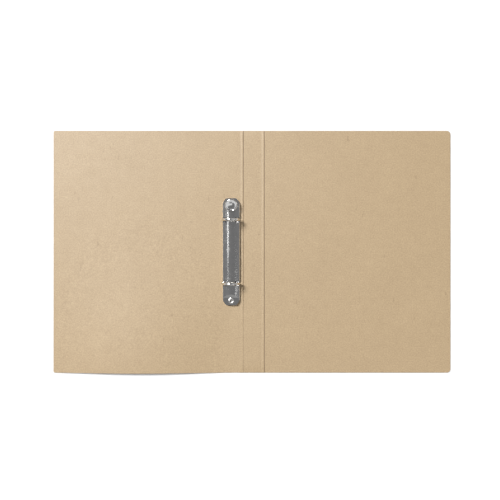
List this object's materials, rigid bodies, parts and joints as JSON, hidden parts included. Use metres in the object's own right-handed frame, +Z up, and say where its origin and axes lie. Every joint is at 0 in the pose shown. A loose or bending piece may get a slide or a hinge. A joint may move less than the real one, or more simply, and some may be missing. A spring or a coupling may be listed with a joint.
{
  "type": "two-ring binder file",
  "caption": "Kraft board ring file lying open and flat: hinged covers and spine, with a plated steel ring mechanism that opens with a round thumb lever.",
  "frame": {"origin": "middle of the open board, on the surface that the file lies on", "axes": "+X from the back cover across the spine to the front cover, +Y towards the head of the file along the folds, +Z up out of the inner side"},
  "size_m": [0.504, 0.307, 0.0238],
  "materials": {
    "kraft_board": "matte",
    "plated_steel": "gloss",
    "blade_steel": "satin",
    "rivet_steel": "satin"
  },
  "bodies": {
    "back": {"back_cover": "kraft_board", "mechanism_plate": "plated_steel", "lever_pin": "rivet_steel", "head_rivet": "rivet_steel", "tail_rivet": "rivet_steel"},
    "spine": {"spine_panel": "kraft_board"},
    "front": {"front_cover": "kraft_board"},
    "left_rings": {"left_blade": "blade_steel", "head_ring_left_half": "plated_steel", "tail_ring_left_half": "plated_steel"},
    "right_rings": {"right_blade": "blade_steel", "head_ring_right_half": "plated_steel", "tail_ring_right_half": "plated_steel"},
    "lever": {"lever": "plated_steel"}
  },
  "joints": [
    {"name": "spine_fold", "type": "hinge", "parent": "back", "child": "spine", "pos_m": [-0.0125, 0, 0.0015], "axis": [0, -1, 0], "range_deg": [0, 90]},
    {"name": "front_fold", "type": "hinge", "parent": "spine", "child": "front", "pos_m": [0.0125, 0, 0.0015], "axis": [0, -1, 0], "range_deg": [0, 90]},
    {"name": "ring_opening", "type": "hinge", "parent": "back", "child": "left_rings", "pos_m": [-0.0358, 0, 0.0046], "axis": [0, -1, 0], "range_deg": [0, 11]},
    {"name": "right_ring_opening", "type": "hinge", "parent": "back", "child": "right_rings", "pos_m": [-0.0168, 0, 0.0046], "axis": [0, 1, 0], "range_deg": [0, 11]},
    {"name": "lever_press", "type": "hinge", "parent": "back", "child": "lever", "pos_m": [-0.0263, 0.051, 0.0033], "axis": [-1, 0, 0], "range_deg": [0, 20]}
  ],
  "couplings": [
    {"joint": "right_ring_opening", "follows": "ring_opening", "ratio": 1},
    {"joint": "lever_press", "follows": "ring_opening", "ratio": 1.8181}
  ]
}
